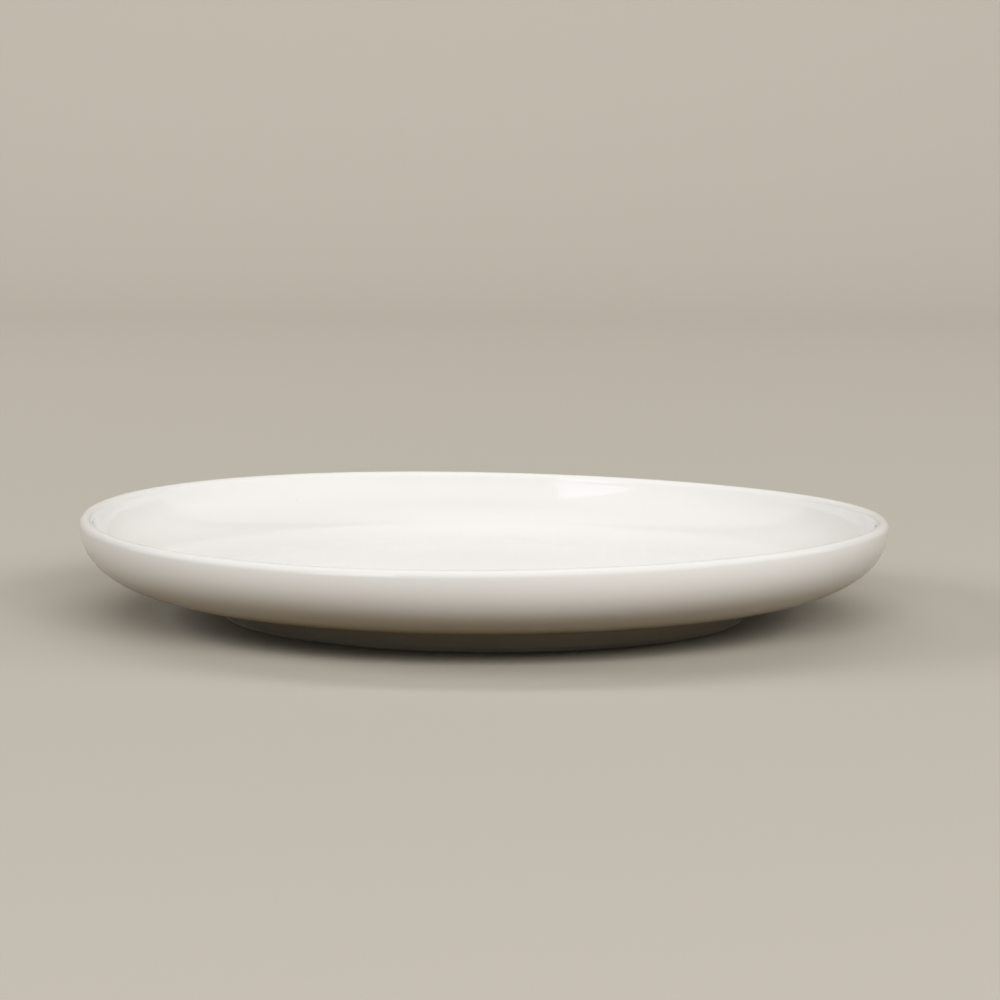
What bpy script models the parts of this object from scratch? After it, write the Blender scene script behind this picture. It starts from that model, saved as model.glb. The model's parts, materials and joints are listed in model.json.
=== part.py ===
"""A round porcelain side plate with a curved wall, a soft lip and a turned foot ring.

The plate is built as it is made: one turned porcelain body, and the two coats of glaze that are fired on to it.
The glaze is wiped off the face that the foot ring stands on, which parts it into an upper coat, over the well, the
lip and the outside, and a base coat inside the foot ring.
Units are metres, +Z is up, and the origin is the centre of the foot ring where the plate meets the table.
"""

import math

import bpy
from mathutils import Vector

# Overall sizes, measured over the glaze
PLATE_DIAMETER = 0.2000
PLATE_HEIGHT = 0.0244

# Thickness over the glaze on both faces: at the lip, at the foot of the wall, and in the base beside the foot ring
LIP_THICKNESS = 0.0032
WALL_THICKNESS = 0.0033
BASE_THICKNESS = 0.0026

# How far along the outer curve, from the lip, the wall has its own thickness
WALL_PLACE = 0.35

# Outer curve: the share of its height that the wall drops, and of its width that the base runs, before they turn
WALL_FULLNESS = 0.655
BELLY_FULLNESS = 0.623

# Foot ring, bare of glaze where it stands
FOOT_DIAMETER = 0.1296
FOOT_WIDTH = 0.0048
FOOT_HEIGHT = 0.0059
FOOT_DRAFT = math.radians(12.0)
FOOT_FILLET = 0.0020
FOOT_EDGE_RADIUS = 0.0010
RECESS_DEPTH = 0.0050

# Glaze, the thin seat that keeps it clear of the body, and the height to which the foot ring is wiped clean
GLAZE_THICKNESS = 0.0004
GLAZE_SEAT = 0.00005
WIPE_HEIGHT = 0.0012

# Facets, and how near the axis two points of a turned profile become one
TURNING_STEPS = 64
LIP_STEPS = 6
WALL_STEPS = 9
FILLET_STEPS = 2
MERGE_DISTANCE = 0.00001

# The most that a rounded corner may take of the shorter side beside it
CORNER_SHARE = 0.9

# Sizes that follow from those above
GLAZE_BUILD = GLAZE_SEAT + GLAZE_THICKNESS
BODY_RADIUS = PLATE_DIAMETER / 2 - GLAZE_BUILD
LIP_CENTRE_HEIGHT = PLATE_HEIGHT - LIP_THICKNESS / 2
BODY_LIP_RADIUS = LIP_THICKNESS / 2 - GLAZE_BUILD
BASE_LEVEL = FOOT_HEIGHT + GLAZE_BUILD
RECESS_LEVEL = RECESS_DEPTH + GLAZE_BUILD
FOOT_RADIUS = FOOT_DIAMETER / 2
FOOT_SLOPE = math.tan(FOOT_DRAFT)


def blend(start, end, share):
    """A value between start and end that leaves and arrives level."""
    return start + (end - start) * (1 - math.cos(math.pi * share)) / 2


def rounded_corner(before, corner, after, radius, steps=FILLET_STEPS):
    """Points of the arc that rounds a corner, kept short enough for the two sides that it joins."""
    to_before = (before - corner).normalized()
    to_after = (after - corner).normalized()
    half_angle = to_before.angle(to_after) / 2
    room = CORNER_SHARE * min((before - corner).length, (after - corner).length)
    radius = min(radius, room * math.tan(half_angle))
    centre = corner + (to_before + to_after).normalized() * radius / math.sin(half_angle)
    start = corner + to_before * radius / math.tan(half_angle) - centre
    end = corner + to_after * radius / math.tan(half_angle) - centre
    turn = start.angle_signed(end)
    arc = []
    for step in range(steps + 1):
        angle = -turn * step / steps
        turned = Vector((
            start.x * math.cos(angle) - start.y * math.sin(angle),
            start.x * math.sin(angle) + start.y * math.cos(angle),
        ))
        arc.append(centre + turned)
    return arc


def foot_corner():
    """Where the foot ring's outer side would meet the underside of the base."""
    return Vector((FOOT_RADIUS + BASE_LEVEL * FOOT_SLOPE, BASE_LEVEL))


def foot_side_point(height):
    """A point on the foot ring's outer side."""
    return Vector((FOOT_RADIUS + height * FOOT_SLOPE, height))


def recess_side_point(height):
    """A point on the foot ring's inner side."""
    return Vector((FOOT_RADIUS - FOOT_WIDTH - height * FOOT_SLOPE, height))


def outer_curve(share):
    """Point and inward normal of the body's outside, from the lip (0) to the foot ring's fillet (1)."""
    top = Vector((BODY_RADIUS, LIP_CENTRE_HEIGHT))
    bottom = Vector((foot_corner().x + FOOT_FILLET, BASE_LEVEL))
    upper = top - Vector((0, WALL_FULLNESS * (top.y - bottom.y)))
    lower = bottom + Vector((BELLY_FULLNESS * (top.x - bottom.x), 0))
    rest = 1 - share
    point = rest**3 * top + 3 * rest**2 * share * upper + 3 * rest * share**2 * lower + share**3 * bottom
    along = rest**2 * (upper - top) + 2 * rest * share * (lower - upper) + share**2 * (bottom - lower)
    along.normalize()
    return point, Vector((along.y, -along.x))


def body_thickness(share):
    """Thickness of the bare body along the outer curve: lip, then wall, then base."""
    if share < WALL_PLACE:
        glazed = blend(LIP_THICKNESS, WALL_THICKNESS, share / WALL_PLACE)
    else:
        glazed = blend(WALL_THICKNESS, BASE_THICKNESS, (share - WALL_PLACE) / (1 - WALL_PLACE))
    return glazed - 2 * GLAZE_BUILD


def well_profile():
    """From the axis over the floor and up the inner wall, which follows the outside at the wall's thickness."""
    wall = []
    for step in range(WALL_STEPS + 1):
        share = 1 - step / WALL_STEPS
        point, inward = outer_curve(share)
        wall.append(point + inward * body_thickness(share))
    return [Vector((0, wall[0].y)), *wall]


def lip_profile():
    """The half-round lip, from inside to outside, without its two ends."""
    centre = Vector((BODY_RADIUS - BODY_LIP_RADIUS, LIP_CENTRE_HEIGHT))
    points = []
    for step in range(1, LIP_STEPS):
        angle = math.pi * (1 - step / LIP_STEPS)
        points.append(centre + BODY_LIP_RADIUS * Vector((math.cos(angle), math.sin(angle))))
    return points


def outside_profile():
    """Down the outside, in under the belly, round the fillet and down the foot ring to the wipe line."""
    wall = [outer_curve(step / WALL_STEPS)[0] for step in range(WALL_STEPS)]
    fillet = rounded_corner(wall[-1], foot_corner(), foot_side_point(WIPE_HEIGHT), FOOT_FILLET)
    return [*wall, *fillet, foot_side_point(WIPE_HEIGHT)]


def standing_profile():
    """The bare end of the foot ring, between its two wipe lines."""
    outer = foot_side_point(0)
    inner = recess_side_point(0)
    outer_edge = rounded_corner(foot_side_point(WIPE_HEIGHT), outer, inner, FOOT_EDGE_RADIUS)
    inner_edge = rounded_corner(outer, inner, recess_side_point(WIPE_HEIGHT), FOOT_EDGE_RADIUS)
    return [*outer_edge, *inner_edge]


def recess_profile():
    """Up the inner side of the foot ring from its wipe line, and in under the base to the axis."""
    wipe = recess_side_point(WIPE_HEIGHT)
    axis = Vector((0, RECESS_LEVEL))
    fillet = rounded_corner(wipe, recess_side_point(RECESS_LEVEL), axis, FOOT_FILLET)
    return [wipe, *fillet, axis]


def seated_out(profile, distance):
    """The profile moved out of the body by a distance, square to each of its stretches."""
    normals = []
    for here, after in zip(profile, profile[1:]):
        along = (after - here).normalized()
        normals.append(Vector((-along.y, along.x)))
    moved = []
    for index, point in enumerate(profile):
        before = normals[max(index - 1, 0)]
        after = normals[min(index, len(normals) - 1)]
        middle = (before + after).normalized()
        moved.append(point + middle * distance / middle.dot(after))
    return moved


def fired_material(name, colour, roughness):
    """A Principled material in one fired colour."""
    material = bpy.data.materials.new(name)
    material.use_nodes = True
    shader = material.node_tree.nodes["Principled BSDF"]
    shader.inputs["Base Color"].default_value = (*colour, 1.0)
    shader.inputs["Roughness"].default_value = roughness
    shader.inputs["Metallic"].default_value = 0.0
    return material


def turned(name, profile, material, collection):
    """An object turned about Z from a profile that runs down its outer side."""
    points = [(point.x, 0, point.y) for point in profile]
    edges = [(index, index + 1) for index in range(len(points) - 1)]
    mesh = bpy.data.meshes.new(name)
    mesh.from_pydata(points, edges, [])
    mesh.materials.append(material)
    piece = bpy.data.objects.new(name, mesh)
    collection.objects.link(piece)
    screw = piece.modifiers.new("Turn", "SCREW")
    screw.axis = "Z"
    screw.angle = 2 * math.pi
    screw.steps = TURNING_STEPS
    screw.render_steps = TURNING_STEPS
    screw.use_merge_vertices = True
    screw.merge_threshold = MERGE_DISTANCE
    screw.use_smooth_shade = True
    return piece


def glaze_coat(name, covered, material, collection):
    """A coat of glaze over a stretch of the body's profile."""
    coat = turned(name, seated_out(covered, GLAZE_SEAT), material, collection)
    shell = coat.modifiers.new("Coat", "SOLIDIFY")
    shell.thickness = GLAZE_THICKNESS
    shell.offset = 1.0
    shell.use_even_offset = True
    return coat


def main():
    for leftover in list(bpy.data.objects):
        bpy.data.objects.remove(leftover, do_unlink=True)

    collection = bpy.data.collections.new("side_plate")
    bpy.context.scene.collection.children.link(collection)
    bisque = fired_material("bare_porcelain", (0.80, 0.77, 0.72), 0.65)
    glaze = fired_material("white_glaze", (0.87, 0.85, 0.81), 0.08)

    seen = [*well_profile(), *lip_profile(), *outside_profile()]
    recess = recess_profile()
    turned("porcelain_body", [*seen, *standing_profile(), *recess], bisque, collection)
    glaze_coat("upper_glaze", seen, glaze, collection)
    glaze_coat("base_glaze", recess, glaze, collection)


main()
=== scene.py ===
# %% [markdown]
# A white porcelain side plate
#
# A side plate is formed from porcelain clay on a wheel, fired once to a chalky biscuit, dipped in clear
# glaze and fired again until the glaze melts to glass. So it is one body and two coats of glass: one over
# everything that shows, and one inside the foot ring. Only the face that stands in the kiln is wiped bare.
# You could model such a plate as one smooth shape and paint it white, but then there would be no line at
# the foot where the glaze stops, and no bare clay below it. So the three pieces are made as the potter
# makes them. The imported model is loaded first. It fixes how wide and how high the plate is, and what is
# modelled here is a finer version of its pieces.

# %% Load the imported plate
import json
import math

import bpy
from mathutils import Matrix, Vector

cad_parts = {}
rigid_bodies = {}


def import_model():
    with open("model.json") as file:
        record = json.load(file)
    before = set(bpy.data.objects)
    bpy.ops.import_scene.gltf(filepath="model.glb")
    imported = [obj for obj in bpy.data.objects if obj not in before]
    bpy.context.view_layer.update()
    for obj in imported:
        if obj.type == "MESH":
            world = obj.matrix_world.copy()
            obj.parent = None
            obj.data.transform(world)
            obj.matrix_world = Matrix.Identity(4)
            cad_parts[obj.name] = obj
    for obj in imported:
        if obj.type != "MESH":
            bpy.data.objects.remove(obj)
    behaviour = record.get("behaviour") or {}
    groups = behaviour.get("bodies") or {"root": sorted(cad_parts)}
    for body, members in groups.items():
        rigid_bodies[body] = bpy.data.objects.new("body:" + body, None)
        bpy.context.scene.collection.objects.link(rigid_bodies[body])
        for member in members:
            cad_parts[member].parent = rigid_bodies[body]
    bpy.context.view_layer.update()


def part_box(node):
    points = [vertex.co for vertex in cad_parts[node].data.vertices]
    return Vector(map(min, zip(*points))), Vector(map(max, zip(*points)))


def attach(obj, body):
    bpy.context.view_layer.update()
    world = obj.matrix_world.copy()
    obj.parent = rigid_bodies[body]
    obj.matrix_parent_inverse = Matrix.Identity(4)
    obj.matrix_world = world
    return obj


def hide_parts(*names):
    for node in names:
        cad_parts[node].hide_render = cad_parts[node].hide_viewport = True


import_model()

MILLIMETRE = 0.001

# %% [markdown]
# The sizes
#
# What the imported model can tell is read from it: the body's radius and height. The other sizes are the
# potter's own: how thick the wall is, how full its curve is and how the foot ring is cut. You could type
# every point of the shape, but a few sizes with names are easier to change, and a change then moves
# everything that hangs on it. The plate's lengths are written in millimetres, because that is how a plate
# is measured, and turned to metres here. The studio round it is written in metres.

# %% Read the body's sizes and give the wall its own
GLAZE_THICKNESS = 0.4 * MILLIMETRE
GLAZE_SEAT = 0.05 * MILLIMETRE

body_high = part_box("porcelain_body")[1]
glaze_build = GLAZE_THICKNESS + GLAZE_SEAT
body_radius = body_high.x
plate_radius = body_radius + glaze_build
plate_height = body_high.z + glaze_build

# Thickness of the body and its glaze together
LIP_THICKNESS = 3.2 * MILLIMETRE
WALL_THICKNESS = 3.3 * MILLIMETRE
BASE_THICKNESS = 2.6 * MILLIMETRE

# How far down the outside the wall has its own thickness, as a share of the curve
WALL_PLACE = 0.35

# How far the wall drops and the base runs before they turn, as shares of the curve's height and width
WALL_FULLNESS = 0.655
BELLY_FULLNESS = 0.623
print("body radius", round(body_radius / MILLIMETRE, 3), "glaze", round(glaze_build / MILLIMETRE, 3), "mm")

# %% Give the foot ring its sizes
FOOT_RADIUS = 64.8 * MILLIMETRE
FOOT_WIDTH = 4.8 * MILLIMETRE
FOOT_HEIGHT = 5.9 * MILLIMETRE
FOOT_DRAFT = math.radians(12.0)
FOOT_FILLET = 2.0 * MILLIMETRE
FOOT_EDGE_RADIUS = 1.0 * MILLIMETRE
RECESS_DEPTH = 5.0 * MILLIMETRE
WIPE_HEIGHT = 1.2 * MILLIMETRE

foot_slope = math.tan(FOOT_DRAFT)
base_level = FOOT_HEIGHT + glaze_build
recess_level = RECESS_DEPTH + glaze_build
print("foot ring", round(2 * FOOT_RADIUS / MILLIMETRE, 1), "mm across,", FOOT_WIDTH / MILLIMETRE, "mm wide")

# %% [markdown]
# The outline of the body
#
# A potter's template is half of the plate's section. It could be drawn by eye over a photograph, point by
# point, but a hand-drawn line has small bumps that a glossy glaze shows at once. A few rules give a
# smoother line: the outside is one cubic curve from the lip to the foot, the inside follows it at the
# wall's thickness, the lip is a half circle and the foot's corners are arcs. Each rule is a short function
# that returns points.

# %% The outside curve and the wall's thickness
def eased(start, end, share):
    """A value between two others that leaves the first and reaches the second without a kink."""
    return start + (end - start) * (1 - math.cos(math.pi * share)) / 2


def outside_curve(share):
    """Point and inward direction on the outside of the body, from the lip (0) to the foot's fillet (1)."""
    top = Vector((body_radius, plate_height - LIP_THICKNESS / 2))
    bottom = Vector((FOOT_RADIUS + base_level * foot_slope + FOOT_FILLET, base_level))
    upper = top - Vector((0, WALL_FULLNESS * (top.y - bottom.y)))
    lower = bottom + Vector((BELLY_FULLNESS * (top.x - bottom.x), 0))
    rest = 1 - share
    point = rest**3 * top + 3 * rest**2 * share * upper + 3 * rest * share**2 * lower + share**3 * bottom
    along = rest**2 * (upper - top) + 2 * rest * share * (lower - upper) + share**2 * (bottom - lower)
    along.normalize()
    return point, Vector((along.y, -along.x))


def body_thickness(share):
    """Thickness of the body under its glaze along that curve: lip, then wall, then base."""
    if share < WALL_PLACE:
        glazed = eased(LIP_THICKNESS, WALL_THICKNESS, share / WALL_PLACE)
    else:
        glazed = eased(WALL_THICKNESS, BASE_THICKNESS, (share - WALL_PLACE) / (1 - WALL_PLACE))
    return glazed - 2 * glaze_build


wall_point = outside_curve(WALL_PLACE)[0]
print("wall", [round(value / MILLIMETRE, 2) for value in wall_point], "mm from the axis and the floor")

# %% The half round of the lip
LIP_STEPS = 20


def arc(centre, radius, start, end, steps):
    """Points of an arc between two angles in degrees, both ends included."""
    points = []
    for step in range(steps + 1):
        angle = math.radians(start + (end - start) * step / steps)
        points.append(centre + radius * Vector((math.cos(angle), math.sin(angle))))
    return points


def lip_outline():
    """The half round of the lip, without the two ends that it shares with the walls."""
    radius = LIP_THICKNESS / 2 - glaze_build
    centre = Vector((body_radius - radius, plate_height - LIP_THICKNESS / 2))
    return arc(centre, radius, 180, 0, LIP_STEPS)[1:-1]


print("lip of", len(lip_outline()), "points")

# %% The foot ring and the recess inside it
CORNER_STEPS = 6
RECESS_STEPS = 12


def rounded_corner(before, corner, after, radius):
    """Points of the arc that rounds the corner between two straight sides."""
    to_before = (before - corner).normalized()
    to_after = (after - corner).normalized()
    half_angle = to_before.angle(to_after) / 2
    middle = (to_before + to_after).normalized()
    centre = corner + middle * radius / math.sin(half_angle)
    first = corner + to_before * radius / math.tan(half_angle) - centre
    start = math.degrees(math.atan2(first.y, first.x))
    turn = -math.degrees(first.angle_signed(corner + to_after * radius / math.tan(half_angle) - centre))
    return arc(centre, radius, start, start + turn, CORNER_STEPS)


def foot_point(height):
    """A point on the outer side of the foot ring."""
    return Vector((FOOT_RADIUS + height * foot_slope, height))


def recess_point(height):
    """A point on the inner side of the foot ring."""
    return Vector((FOOT_RADIUS - FOOT_WIDTH - height * foot_slope, height))


def straight(start, end, steps):
    """Points from one point to another, without the last."""
    return [start.lerp(end, step / steps) for step in range(steps)]


def foot_outline():
    """The bare end of the foot ring, from one wipe line to the other."""
    outer = foot_point(0)
    inner = recess_point(0)
    outer_edge = rounded_corner(foot_point(WIPE_HEIGHT), outer, inner, FOOT_EDGE_RADIUS)
    inner_edge = rounded_corner(outer, inner, recess_point(WIPE_HEIGHT), FOOT_EDGE_RADIUS)
    return [foot_point(WIPE_HEIGHT), *outer_edge, *inner_edge]


def recess_outline():
    """Up the inside of the foot ring and in under the base to the middle."""
    wipe = recess_point(WIPE_HEIGHT)
    middle = Vector((0, recess_level))
    fillet = rounded_corner(wipe, recess_point(recess_level), middle, FOOT_FILLET)
    side = straight(wipe, fillet[0], CORNER_STEPS)
    underside = straight(fillet[-1], middle, RECESS_STEPS)[1:]
    return [*side, *fillet, *underside, middle]


print("foot ring of", len(foot_outline()) + len(recess_outline()), "points")

# %% The well, the outside and the whole outline
FLOOR_STEPS = 14
WALL_STEPS = 40


def well_outline():
    """Over the floor of the well and up the inside of the wall."""
    wall = []
    for step in range(WALL_STEPS + 1):
        share = 1 - step / WALL_STEPS
        point, inward = outside_curve(share)
        wall.append(point + inward * body_thickness(share))
    return [*straight(Vector((0, wall[0].y)), wall[0], FLOOR_STEPS), *wall]


def outside_outline():
    """Down the outside, under the belly and down the foot ring to where the glaze stops."""
    wall = [outside_curve(step / WALL_STEPS)[0] for step in range(WALL_STEPS)]
    wipe = foot_point(WIPE_HEIGHT)
    fillet = rounded_corner(wall[-1], foot_point(base_level), wipe, FOOT_FILLET)
    return [*wall, *fillet, *straight(fillet[-1], wipe, CORNER_STEPS)[1:]]


body_outline = [*well_outline(), *lip_outline(), *outside_outline(), *foot_outline(), *recess_outline()]
floor_height = round(body_outline[0].y / MILLIMETRE, 2)
print("outline of", len(body_outline), "points, floor of the well at", floor_height, "mm")

# %% [markdown]
# Turning the body
#
# On the wheel the template stays still and the clay turns. Spin does the same: one vertex is extruded along
# the outline, and the line is spun once round the upright axis. A Screw modifier would also do, but Spin
# leaves a plain mesh to go on with. The first and last line of the spin lie on each other, and so do all
# points on the axis, so they are merged before the faces are turned to point outwards.

# %% Draw the outline and spin it
TURN_STEPS = 192
MERGE_DISTANCE = 0.001 * MILLIMETRE


def draw_outline(name, outline):
    """A line in the plane of X and Z, extruded from point to point out of one vertex, left in edit mode."""
    bpy.ops.object.select_all(action="DESELECT")
    bpy.ops.mesh.primitive_plane_add(size=MILLIMETRE)
    piece = bpy.context.object
    piece.name = name
    piece.data.name = name
    bpy.ops.object.mode_set(mode="EDIT")
    bpy.ops.mesh.select_mode(type="VERT")
    bpy.ops.mesh.select_all(action="SELECT")
    bpy.ops.mesh.merge(type="CENTER")
    bpy.ops.transform.translate(value=(outline[0].x, 0, outline[0].y))
    for here, after in zip(outline, outline[1:]):
        step = after - here
        bpy.ops.mesh.extrude_region_move(TRANSFORM_OT_translate={"value": (step.x, 0, step.y)})
    return piece


body = draw_outline("plate_body", body_outline)
bpy.ops.mesh.select_all(action="SELECT")
bpy.ops.mesh.spin(steps=TURN_STEPS, angle=2 * math.pi, center=(0, 0, 0), axis=(0, 0, 1))
bpy.ops.mesh.select_all(action="SELECT")
bpy.ops.mesh.remove_doubles(threshold=MERGE_DISTANCE)
bpy.ops.mesh.normals_make_consistent(inside=False)
bpy.ops.object.mode_set(mode="OBJECT")
print("turned body:", len(body.data.vertices), "vertices", len(body.data.polygons), "faces")

# %% [markdown]
# The warp of the kiln
#
# Porcelain softens in the fire, and no plate comes out quite flat: the rim of this one rises and falls by
# less than a millimetre, twice round. You could pull the rim about with proportional editing, but a saddle
# like this is a gentle twist from one side to the other, so Simple Deform makes it in one step. A vertex
# group keeps the foot ring flat, because it stood on the kiln shelf. The twist turns about the X axis, so
# the rim is lowered on to that axis first and raised again afterwards.

# %% Twist the rim
RIM_RISE = 0.79 * MILLIMETRE
RIM_WARP_TURN = math.radians(12.35)
STIFF_RADIUS = 64.0 * MILLIMETRE
WARP_POWER = 1.5


def warp_weight(radius):
    """How much of the twist a ring of the plate takes: none over the foot, all of it at the rim."""
    # A twist lifts a ring by the square of its radius, and the last factor takes that out again
    share = max(0.0, (radius - STIFF_RADIUS) / (plate_radius - STIFF_RADIUS))
    return min(1.0, share**WARP_POWER * (plate_radius / max(radius, STIFF_RADIUS))**2)


soft_wall = body.vertex_groups.new(name="soft_wall")
for vertex in body.data.vertices:
    soft_wall.add([vertex.index], warp_weight(vertex.co.xy.length), "REPLACE")

bpy.ops.object.mode_set(mode="EDIT")
bpy.ops.mesh.select_all(action="SELECT")
bpy.ops.transform.translate(value=(0, 0, -plate_height))
bpy.ops.object.mode_set(mode="OBJECT")
bpy.ops.object.modifier_add(type="SIMPLE_DEFORM")
twist = body.modifiers[-1]
twist.deform_method = "TWIST"
twist.deform_axis = "X"
# The rim is lifted by a quarter of the twist's angle times its radius
twist.angle = -4 * RIM_RISE / plate_radius
twist.vertex_group = soft_wall.name
bpy.ops.object.modifier_apply(modifier=twist.name)

bpy.ops.object.mode_set(mode="EDIT")
bpy.ops.mesh.select_all(action="SELECT")
bpy.ops.transform.translate(value=(0, 0, plate_height))
bpy.ops.transform.rotate(value=-RIM_WARP_TURN, orient_axis="Z", center_override=(0, 0, 0))
bpy.ops.object.mode_set(mode="OBJECT")
body.vertex_groups.clear()
rim_height = max(vertex.co.z for vertex in body.data.vertices)
print("highest point of the rim", round(rim_height / MILLIMETRE, 2), "mm")

# %% [markdown]
# The two coats of glaze
#
# The glaze lies on the body like a skin of glass about half a millimetre thick. It could be a second
# outline that is spun like the first, but then it would have to be warped again. So the faces that were
# dipped are copied off the warped body and given thickness outwards with Solidify. An offset a little over
# 1 leaves a thin seat, so that glaze and body never share a face. Bevel rounds the coat's end at the wipe
# line, as surface tension rounds melted glass.

# %% Tell the dipped faces apart
foot_middle = FOOT_RADIUS - FOOT_WIDTH / 2


def is_upper_glaze(centre):
    """Everything that shows from above or from the side, down to the wipe line."""
    outside = centre.xy.length > foot_middle and centre.z > WIPE_HEIGHT
    return outside or centre.z > recess_level + glaze_build


def is_base_glaze(centre):
    """The recess inside the foot ring, down to its own wipe line."""
    return not is_upper_glaze(centre) and centre.z > WIPE_HEIGHT


print("faces are parted at a radius of", round(foot_middle / MILLIMETRE, 1), "mm")

# %% Copy the dipped faces off the body
def select_only(piece):
    """Makes one piece the selected and the active object."""
    bpy.ops.object.select_all(action="DESELECT")
    bpy.context.view_layer.objects.active = piece
    piece.select_set(True)


def dipped_copy(name, is_covered):
    """The covered faces of the body, copied to an object of their own."""
    select_only(body)
    bpy.ops.object.mode_set(mode="EDIT")
    bpy.ops.mesh.select_mode(type="FACE")
    bpy.ops.mesh.select_all(action="DESELECT")
    bpy.ops.object.mode_set(mode="OBJECT")
    for face in body.data.polygons:
        face.select = is_covered(face.center)
    bpy.ops.object.mode_set(mode="EDIT")
    bpy.ops.mesh.duplicate()
    bpy.ops.mesh.separate(type="SELECTED")
    bpy.ops.object.mode_set(mode="OBJECT")
    coat = next(made for made in bpy.context.selected_objects if made != body)
    coat.name = name
    coat.data.name = name
    print(name, "covers", len(coat.data.polygons), "faces")
    return coat


upper_coat = dipped_copy("upper_glaze_coat", is_upper_glaze)
base_coat = dipped_copy("base_glaze_coat", is_base_glaze)

# %% Give each coat its thickness and a rounded end
GLAZE_EDGE_RADIUS = 0.16 * MILLIMETRE
GLAZE_EDGE_STEPS = 3
SHARP_ANGLE = math.radians(50)

for coat in (upper_coat, base_coat):
    select_only(coat)
    bpy.ops.object.modifier_add(type="SOLIDIFY")
    shell = coat.modifiers[-1]
    shell.thickness = GLAZE_THICKNESS
    shell.offset = 1 + 2 * GLAZE_SEAT / GLAZE_THICKNESS
    shell.use_even_offset = True
    bpy.ops.object.modifier_apply(modifier=shell.name)
    bpy.ops.object.modifier_add(type="BEVEL")
    edge = coat.modifiers[-1]
    edge.width = GLAZE_EDGE_RADIUS
    edge.segments = GLAZE_EDGE_STEPS
    edge.limit_method = "ANGLE"
    edge.angle_limit = SHARP_ANGLE
    bpy.ops.object.modifier_apply(modifier=edge.name)

for piece in (body, upper_coat, base_coat):
    select_only(piece)
    bpy.ops.object.shade_smooth_by_angle(angle=SHARP_ANGLE)
    sides = [round(side / MILLIMETRE, 2) for side in piece.dimensions]
    print(piece.name, len(piece.data.polygons), "faces", sides, "mm")

# %% [markdown]
# Materials
#
# Every material is built from nodes, because a pattern made of numbers has no pixels and no seams. Colours
# are written as sRGB hex values, as they would be read off a colour card, and one function turns them to
# the linear values that Blender mixes. A second function adds a node, sets it and links it, so that a
# recipe reads from top to bottom. Object coordinates are in metres, so a pattern's scale is one over its
# real size.

# %% Helpers for materials
# A Mix node has a set of sockets for each kind of value, and these are the ones for colours
MIX_SHARE = 0
MIX_FIRST = 6
MIX_SECOND = 7
MIX_RESULT = 2


def linear(hex_colour):
    """Linear colour, with alpha, of an sRGB hex value."""
    channels = [int(hex_colour[start:start + 2], 16) / 255 for start in (1, 3, 5)]
    bright = [value / 12.92 if value <= 0.04045 else ((value + 0.055) / 1.055) ** 2.4 for value in channels]
    return (*bright, 1.0)


def add_node(tree, kind, settings=None, links=None):
    """A new node with its settings and links. A key that names an input sets that input."""
    node = tree.nodes.new(kind)
    for name, value in (settings or {}).items():
        if isinstance(name, int) or name in node.inputs:
            node.inputs[name].default_value = value
        else:
            setattr(node, name, value)
    for name, source in (links or {}).items():
        tree.links.new(source, node.inputs[name])
    return node


def new_material(name):
    """An empty material, its node tree and its Principled shader."""
    material = bpy.data.materials.new(name)
    material.use_nodes = True
    return material, material.node_tree, material.node_tree.nodes["Principled BSDF"]


print("half grey is", round(linear("#808080")[0], 3), "in linear light")

# %% [markdown]
# Specks
#
# Fired ware is never quite clean: glaze has a few pinholes where a bubble burst, and clay has a few specks
# of iron. They could be dotted on by hand, but a Voronoi pattern has one point in each of its cells, and a
# random colour for each cell. A spot round the point, kept only where that random colour is high, gives
# rare specks all over.

# %% Rare round specks
# The share of a speck's radius over which it is fully marked, before its edge fades
SPECK_CORE = 0.5


def specks(tree, place, spacing, radius, rarity):
    """A pattern that is 1 inside rare round spots and 0 between them."""
    cells = add_node(tree, "ShaderNodeTexVoronoi", {"Scale": 1 / spacing}, {"Vector": place})
    spot = add_node(
        tree,
        "ShaderNodeMapRange",
        {"From Min": radius / spacing, "From Max": SPECK_CORE * radius / spacing},
        {"Value": cells.outputs["Distance"]},
    )
    lot = add_node(tree, "ShaderNodeSeparateColor", {}, {"Color": cells.outputs["Color"]})
    kept = add_node(tree, "ShaderNodeMath", {"operation": "GREATER_THAN", 1: rarity}, {0: lot.outputs["Red"]})
    both = add_node(
        tree, "ShaderNodeMath", {"operation": "MULTIPLY"}, {0: spot.outputs["Result"], 1: kept.outputs[0]}
    )
    return both.outputs[0]


print("specks fade over the outer", 1 - SPECK_CORE, "of their radius")

# %% [markdown]
# Glazed porcelain
#
# Clear feldspar glaze, dipped and fired over white porcelain. The eye sees a clean, slightly warm white
# that drifts a little from place to place, under a skin of glass so smooth that it mirrors lamps with sharp
# edges. The mirror images waver slightly, because melted glaze never flows out quite level: it keeps long
# waves and a fine skin like that of an orange. A coat layer could carry the gloss, but plain glass over
# white is what the Principled shader's own specular already is, with the usual index of 1.5.

# %% The glaze
GLAZE_WHITE = "#DEDBD7"
GLAZE_PALE_WHITE = "#E2DFDC"
PINHOLE_TINT = "#C3BAAB"
GLAZE_GLOSSIEST = 0.015
GLAZE_DULLEST = 0.035
GLAZE_IOR = 1.5
GLAZE_DRIFT = 45 * MILLIMETRE
GLAZE_WAVE = 14 * MILLIMETRE
GLAZE_WAVE_RISE = 0.0015 * MILLIMETRE
GLAZE_PEEL = 2.5 * MILLIMETRE
GLAZE_PEEL_RISE = 0.0003 * MILLIMETRE
PINHOLE_SPACING = 3 * MILLIMETRE
PINHOLE_RADIUS = 0.2 * MILLIMETRE
PINHOLE_DEPTH = 0.02 * MILLIMETRE
PINHOLE_RARITY = 0.99


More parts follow.
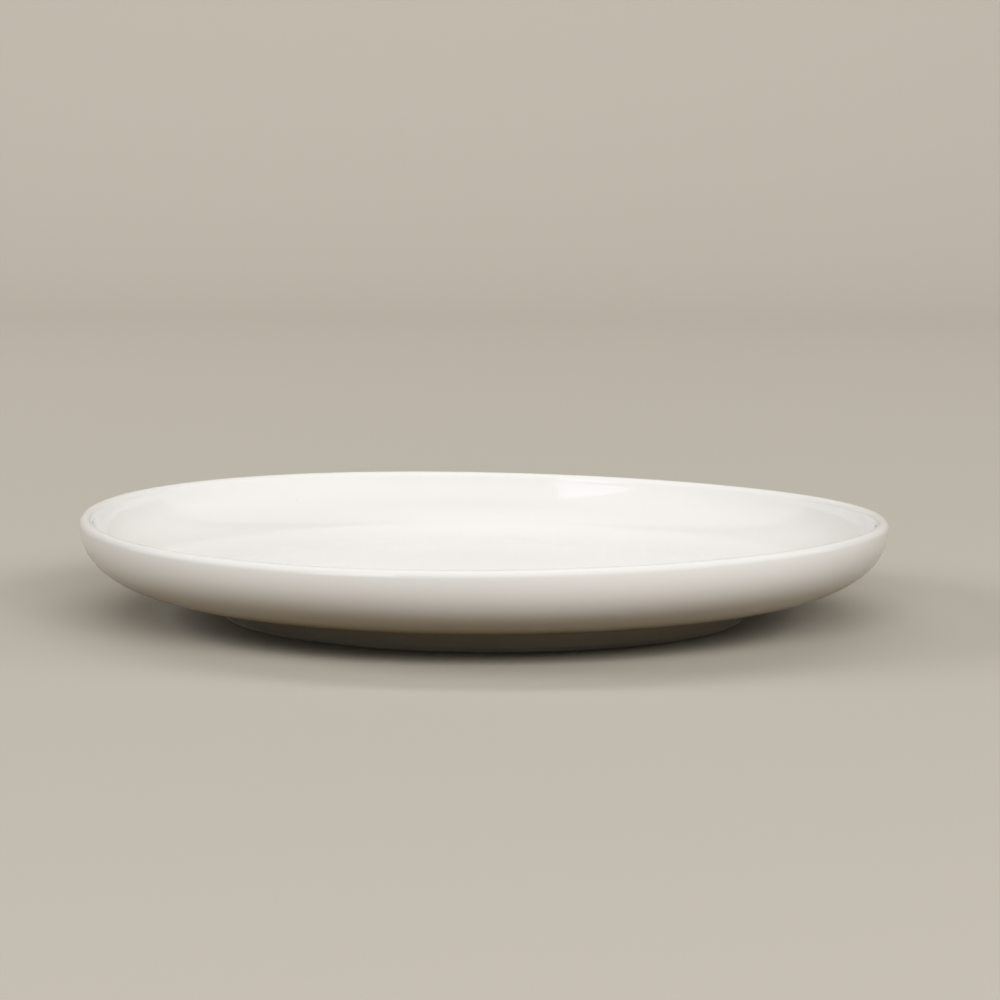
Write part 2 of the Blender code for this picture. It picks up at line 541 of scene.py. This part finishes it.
def glazed_porcelain():
    """Warm white under smooth glass, with a few pinholes."""
    material, tree, shader = new_material("glazed_porcelain")
    place = add_node(tree, "ShaderNodeTexCoord").outputs["Object"]
    drift = add_node(tree, "ShaderNodeTexNoise", {"Scale": 1 / GLAZE_DRIFT}, {"Vector": place})
    white = add_node(
        tree,
        "ShaderNodeMix",
        {"data_type": "RGBA", MIX_FIRST: linear(GLAZE_WHITE), MIX_SECOND: linear(GLAZE_PALE_WHITE)},
        {MIX_SHARE: drift.outputs["Fac"]},
    )
    pinholes = specks(tree, place, PINHOLE_SPACING, PINHOLE_RADIUS, PINHOLE_RARITY)
    marked = add_node(
        tree,
        "ShaderNodeMix",
        {"data_type": "RGBA", MIX_SECOND: linear(PINHOLE_TINT)},
        {MIX_SHARE: pinholes, MIX_FIRST: white.outputs[MIX_RESULT]},
    )
    waves = add_node(tree, "ShaderNodeTexNoise", {"Scale": 1 / GLAZE_WAVE}, {"Vector": place})
    peel = add_node(tree, "ShaderNodeTexNoise", {"Scale": 1 / GLAZE_PEEL}, {"Vector": place})
    gloss = add_node(
        tree,
        "ShaderNodeMapRange",
        {"To Min": GLAZE_GLOSSIEST, "To Max": GLAZE_DULLEST},
        {"Value": waves.outputs["Fac"]},
    )
    wavy = add_node(tree, "ShaderNodeBump", {"Distance": GLAZE_WAVE_RISE}, {"Height": waves.outputs["Fac"]})
    peeled = add_node(
        tree,
        "ShaderNodeBump",
        {"Distance": GLAZE_PEEL_RISE},
        {"Height": peel.outputs["Fac"], "Normal": wavy.outputs["Normal"]},
    )
    pitted = add_node(
        tree,
        "ShaderNodeBump",
        {"Distance": PINHOLE_DEPTH, "invert": True},
        {"Height": pinholes, "Normal": peeled.outputs["Normal"]},
    )
    tree.links.new(marked.outputs[MIX_RESULT], shader.inputs["Base Color"])
    tree.links.new(gloss.outputs["Result"], shader.inputs["Roughness"])
    tree.links.new(pitted.outputs["Normal"], shader.inputs["Normal"])
    shader.inputs["IOR"].default_value = GLAZE_IOR
    return material


glaze = glazed_porcelain()
for coat in (upper_coat, base_coat):
    coat.data.materials.clear()
    coat.data.materials.append(glaze)
print(glaze.name, "of", len(glaze.node_tree.nodes), "nodes")

# %% [markdown]
# Bare porcelain
#
# Where the glaze is wiped off, the fired clay shows: dense, matt and slightly creamy, like very fine
# sandpaper to the finger. It greys in patches where it rubs on shelves and other plates. Grain of about
# half a millimetre is coarser than real porcelain, because the real grain is too fine to show in a picture.
# It gives the tint, the bump and the roughness together, so that a hollow is a little darker and duller
# than the grain beside it.

# %% The bare body
CLAY_CREAM = "#D9D2C6"
CLAY_PALE_CREAM = "#E6E0D6"
SCUFF_GREY = "#B9B2A6"
IRON_BROWN = "#8A765C"
CLAY_HOLLOW_ROUGHNESS = 0.75
CLAY_GRAIN_ROUGHNESS = 0.55
CLAY_GRAIN_DETAIL = 4.0
CLAY_GRAIN = 0.5 * MILLIMETRE
CLAY_GRAIN_RISE = 0.02 * MILLIMETRE
CLAY_SCUFF = 9 * MILLIMETRE
SCUFF_SHARE = 0.35
IRON_SPACING = 1.6 * MILLIMETRE
IRON_RADIUS = 0.15 * MILLIMETRE
IRON_RARITY = 0.93


def bare_porcelain():
    """Matt cream clay with fine grain, grey scuffs and specks of iron."""
    material, tree, shader = new_material("bare_porcelain")
    place = add_node(tree, "ShaderNodeTexCoord").outputs["Object"]
    grain = add_node(
        tree,
        "ShaderNodeTexNoise",
        {"Scale": 1 / CLAY_GRAIN, "Detail": CLAY_GRAIN_DETAIL},
        {"Vector": place},
    )
    clay = add_node(
        tree,
        "ShaderNodeMix",
        {"data_type": "RGBA", MIX_FIRST: linear(CLAY_CREAM), MIX_SECOND: linear(CLAY_PALE_CREAM)},
        {MIX_SHARE: grain.outputs["Fac"]},
    )
    cloud = add_node(tree, "ShaderNodeTexNoise", {"Scale": 1 / CLAY_SCUFF}, {"Vector": place})
    scuff = add_node(tree, "ShaderNodeMapRange", {"To Max": SCUFF_SHARE}, {"Value": cloud.outputs["Fac"]})
    scuffed = add_node(
        tree,
        "ShaderNodeMix",
        {"data_type": "RGBA", MIX_SECOND: linear(SCUFF_GREY)},
        {MIX_SHARE: scuff.outputs["Result"], MIX_FIRST: clay.outputs[MIX_RESULT]},
    )
    iron = specks(tree, place, IRON_SPACING, IRON_RADIUS, IRON_RARITY)
    marked = add_node(
        tree,
        "ShaderNodeMix",
        {"data_type": "RGBA", MIX_SECOND: linear(IRON_BROWN)},
        {MIX_SHARE: iron, MIX_FIRST: scuffed.outputs[MIX_RESULT]},
    )
    dull = add_node(
        tree,
        "ShaderNodeMapRange",
        {"To Min": CLAY_HOLLOW_ROUGHNESS, "To Max": CLAY_GRAIN_ROUGHNESS},
        {"Value": grain.outputs["Fac"]},
    )
    level = add_node(tree, "ShaderNodeBump", {"Distance": CLAY_GRAIN_RISE}, {"Height": grain.outputs["Fac"]})
    tree.links.new(marked.outputs[MIX_RESULT], shader.inputs["Base Color"])
    tree.links.new(dull.outputs["Result"], shader.inputs["Roughness"])
    tree.links.new(level.outputs["Normal"], shader.inputs["Normal"])
    return material


clay_body = bare_porcelain()
body.data.materials.clear()
body.data.materials.append(clay_body)
print(clay_body.name, "of", len(clay_body.node_tree.nodes), "nodes")

# %% [markdown]
# Handing the pieces over
#
# A plate has no moving part, so all of it is one body. Each finished piece takes the place of one node of
# the imported model and rides on that body.
# Matching names could stand for all this, but it is said outright, so that a wrong name stops the script.

# %% Each finished piece stands for its imported node
for piece, node, slot in (
    (body, "porcelain_body", "bare_porcelain"),
    (upper_coat, "upper_glaze", "white_glaze"),
    (base_coat, "base_glaze", "white_glaze"),
):
    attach(piece, "root")
    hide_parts(node)
    print(piece.name, "stands for", node)

# %% [markdown]
# The floor
#
# A studio sweep is one sheet of paper that lies flat under the plate and curves up behind it, so that no
# edge shows. Two planes would meet in a dark line. Here the back edge of one plane is spun a quarter turn
# and then extruded upwards. The sweep is wide and tall, because the glaze mirrors it: its top edge is the
# thin line that runs along the far side of the well. Its upper corners are rounded, so that the line ends
# in a curve and not in a hard corner.

# %% The sweep
SWEEP_WIDTH = 7.5
SWEEP_FRONT = 3.0
SWEEP_BACK = 1.1
SWEEP_RADIUS = 0.8
SWEEP_HEIGHT = 1.38
SWEEP_STEPS = 24
SWEEP_CORNER = 1.3

bpy.ops.object.select_all(action="DESELECT")
bpy.ops.mesh.primitive_plane_add(size=1)
sweep = bpy.context.object
sweep.name = "studio_sweep"
bpy.ops.object.mode_set(mode="EDIT")
bpy.ops.mesh.select_all(action="SELECT")
bpy.ops.transform.resize(value=(SWEEP_WIDTH, SWEEP_FRONT + SWEEP_BACK, 1))
bpy.ops.transform.translate(value=(0, (SWEEP_BACK - SWEEP_FRONT) / 2, 0))
bpy.ops.object.mode_set(mode="OBJECT")
for edge in sweep.data.edges:
    edge.select = all(sweep.data.vertices[corner].co.y > 0 for corner in edge.vertices)
for vertex in sweep.data.vertices:
    vertex.select = vertex.co.y > 0
for face in sweep.data.polygons:
    face.select = False
bpy.ops.object.mode_set(mode="EDIT")
bpy.ops.mesh.select_mode(type="EDGE")
bpy.ops.mesh.spin(
    steps=SWEEP_STEPS, angle=math.pi / 2, center=(0, SWEEP_BACK, SWEEP_RADIUS), axis=(-1, 0, 0)
)
bpy.ops.mesh.extrude_region_move(TRANSFORM_OT_translate={"value": (0, 0, SWEEP_HEIGHT)})
bpy.ops.mesh.bevel(offset=SWEEP_CORNER, segments=SWEEP_STEPS, affect="VERTICES")
bpy.ops.object.mode_set(mode="OBJECT")
bpy.ops.object.shade_smooth()
print("sweep", [round(side, 2) for side in sweep.dimensions], "m")

# %% [markdown]
# The sweep's paper
#
# Pale paper throws so much light back at the underside of a plate that the belly loses its shape. So the
# paper is pale only to the rays that show it, straight or mirrored, and a dull olive to the rays that carry
# its light to the plate. Light Path tells the two kinds of ray apart.

# %% The paper
def shown_rays(tree):
    """1 for the rays that show a thing, straight or mirrored, and 0 for those that only carry its light."""
    ray = add_node(tree, "ShaderNodeLightPath")
    mirrored = add_node(
        tree,
        "ShaderNodeMath",
        {"operation": "ADD"},
        {0: ray.outputs["Is Camera Ray"], 1: ray.outputs["Is Glossy Ray"]},
    )
    shown = add_node(
        tree,
        "ShaderNodeMath",
        {"operation": "ADD", "use_clamp": True},
        {0: mirrored.outputs[0], 1: ray.outputs["Is Transmission Ray"]},
    )
    return shown.outputs[0]


PAPER_BOUNCE = "#6B5B3A"
PAPER_SHOWN = "#B4AEA3"
PAPER_ROUGHNESS = 0.9
PAPER_SPECULAR = 0.1


def studio_paper():
    """Pale matt paper that gives off little light of its own."""
    material, tree, shader = new_material("studio_paper")
    colour = add_node(
        tree,
        "ShaderNodeMix",
        {"data_type": "RGBA", MIX_FIRST: linear(PAPER_BOUNCE), MIX_SECOND: linear(PAPER_SHOWN)},
        {MIX_SHARE: shown_rays(tree)},
    )
    tree.links.new(colour.outputs[MIX_RESULT], shader.inputs["Base Color"])
    shader.inputs["Roughness"].default_value = PAPER_ROUGHNESS
    shader.inputs["Specular IOR Level"].default_value = PAPER_SPECULAR
    return material


sweep.data.materials.append(studio_paper())
print("sweep in", sweep.data.materials[0].name)

# %% [markdown]
# Soft boxes
#
# A white plate is lit by large soft lamps, so that it is bright without hard shadows. Most of the light
# comes from the front, from higher than the camera, with weaker boxes at both sides and one behind, which
# also lights the paper. You could let the glaze mirror them all, but then it would be full of white
# squares. Each box therefore gives light and stays out of mirrored rays, and a panel of its own makes the
# one highlight.

# %% The soft boxes
def outward(azimuth, elevation):
    """Direction from the plate. Azimuth counts from the camera's side towards +X, and both are in degrees."""
    across = math.radians(azimuth)
    up = math.radians(elevation)
    return Vector((math.sin(across) * math.cos(up), -math.cos(across) * math.cos(up), math.sin(up)))


PLATE_MIDDLE = Vector((0, 0, plate_height / 2))
BACKDROP_FOOT = Vector((0, SWEEP_BACK + SWEEP_RADIUS / 2, 0))


def soft_box(name, azimuth, elevation, distance, size, watts, aim=PLATE_MIDDLE):
    """A rectangular lamp that faces the aim, and that the glaze doesn't mirror."""
    location = PLATE_MIDDLE + distance * outward(azimuth, elevation)
    bpy.ops.object.light_add(
        type="AREA",
        location=location,
        rotation=(aim - location).to_track_quat("-Z", "Y").to_euler(),
    )
    lamp = bpy.context.object
    lamp.name = name
    lamp.data.shape = "RECTANGLE"
    lamp.data.size = size[0]
    lamp.data.size_y = size[1]
    lamp.data.energy = watts
    lamp.visible_glossy = False
    return lamp


lamps = [
    soft_box("front_box", azimuth=8, elevation=31.6, distance=2.2, size=(2.2, 0.8), watts=42.7),
    soft_box("right_front_box", azimuth=45, elevation=28, distance=2.1, size=(0.9, 0.6), watts=7.3),
    soft_box("left_box", azimuth=-90, elevation=26, distance=2.0, size=(1.4, 0.7), watts=19.4),
    soft_box("right_box", azimuth=90, elevation=26, distance=2.0, size=(1.4, 0.7), watts=10.4),
    soft_box(
        "back_box", azimuth=180, elevation=58, distance=2.0, size=(2.4, 0.7), watts=20, aim=BACKDROP_FOOT
    ),
]
print(len(lamps), "soft boxes of", round(sum(lamp.data.energy for lamp in lamps), 1), "watts")

# %% [markdown]
# The highlight
#
# A glossy plate has one clear highlight, the image of a bright panel in the far wall of the well. The
# hollow wall bends that image to a wedge. So the panel is a plane whose corners are moved to the directions
# that the wedge's corners mirror, tall and narrow towards the top. It is seen only in the glaze: the camera
# doesn't see it, and it casts neither light nor shadow.

# %% The panel that the glaze mirrors
# Azimuth and elevation of each corner, in degrees from the plate
PANEL_CORNERS = ((-50.5, 1.3), (-21.5, 1.3), (-33.5, 59), (-38.5, 50))
PANEL_DISTANCE = 1.2
PANEL_DAYLIGHT = "#D9ECFF"
PANEL_STRENGTH = 2.8


def lamp_panel_material():
    """Even daylight, a little cooler than the soft boxes, so that it looks white on the warm glaze."""
    material, _, shader = new_material("lamp_panel")
    shader.inputs["Base Color"].default_value = (0, 0, 0, 1)
    shader.inputs["Emission Color"].default_value = linear(PANEL_DAYLIGHT)
    shader.inputs["Emission Strength"].default_value = PANEL_STRENGTH
    return material


bpy.ops.object.select_all(action="DESELECT")
bpy.ops.mesh.primitive_plane_add(size=1)
panel = bpy.context.object
panel.name = "lamp_panel"
for corner, (azimuth, elevation) in zip(panel.data.polygons[0].vertices, PANEL_CORNERS):
    panel.data.vertices[corner].co = PANEL_DISTANCE * outward(azimuth, elevation)
panel.data.materials.append(lamp_panel_material())
panel.visible_camera = False
panel.visible_diffuse = False
panel.visible_shadow = False
print("panel", [round(side, 2) for side in panel.dimensions], "m")

# %% [markdown]
# The room
#
# The world stands for the rest of the studio. It could be one even grey, but then it would either flatten
# the plate with its light or leave the glaze nothing to mirror above the paper. So it is pale to the rays
# that show it, and weak to the rays that carry light, which leaves the shaping to the soft boxes.

# %% The room
ROOM_LIGHT = 0.1
ROOM_SHOWN = 0.6

world = bpy.data.worlds.new("studio")
bpy.context.scene.world = world
world.use_nodes = True
room = world.node_tree.nodes["Background"]
room.inputs["Color"].default_value = (1, 1, 1, 1)
room_strength = add_node(
    world.node_tree,
    "ShaderNodeMapRange",
    {"To Min": ROOM_LIGHT, "To Max": ROOM_SHOWN},
    {"Value": shown_rays(world.node_tree)},
)
world.node_tree.links.new(room_strength.outputs["Result"], room.inputs["Strength"])
print("room", ROOM_LIGHT, "as light and", ROOM_SHOWN, "as seen")

# %% [markdown]
# The camera
#
# The plate is photographed from low in front with a long lens, so that the far rim stays nearly as wide as
# the near one. A Track To constraint could aim the camera, but the picture is also turned by a hair and not
# quite centred, so the turns are worked out one by one: raise, yaw and roll. The focal length is measured
# in pixels of a picture of 1000 by 1000, which is how it is found from the outline of the rim.

# %% Place the camera
IMAGE_PIXELS = 1000
FOCAL_PIXELS = 3476.9
SENSOR_WIDTH = 36.0
CLIP_START = 10 * MILLIMETRE
CAMERA_DISTANCE = 0.86603
CAMERA_ELEVATION = math.radians(7.8388)
CAMERA_TARGET = Vector((0, 0, 12 * MILLIMETRE))
CAMERA_RAISE = math.radians(1.0561)
CAMERA_YAW = math.radians(0.2578)
CAMERA_ROLL = math.radians(0.4347)

back = Vector((0, -math.cos(CAMERA_ELEVATION), math.sin(CAMERA_ELEVATION)))
tilt = math.pi / 2 - CAMERA_ELEVATION + CAMERA_RAISE
turn = Matrix.Rotation(-CAMERA_YAW, 3, "Z") @ Matrix.Rotation(tilt, 3, "X")
turn = turn @ Matrix.Rotation(CAMERA_ROLL, 3, "Z")
bpy.ops.object.camera_add(location=CAMERA_TARGET + CAMERA_DISTANCE * back, rotation=turn.to_euler())
camera = bpy.context.object
camera.data.sensor_fit = "HORIZONTAL"
camera.data.sensor_width = SENSOR_WIDTH
camera.data.lens = FOCAL_PIXELS * SENSOR_WIDTH / IMAGE_PIXELS
camera.data.clip_start = CLIP_START
bpy.context.scene.camera = camera
bpy.context.scene.view_settings.view_transform = "Standard"
print("camera", [round(value, 4) for value in camera.location], "lens", round(camera.data.lens, 2), "mm")
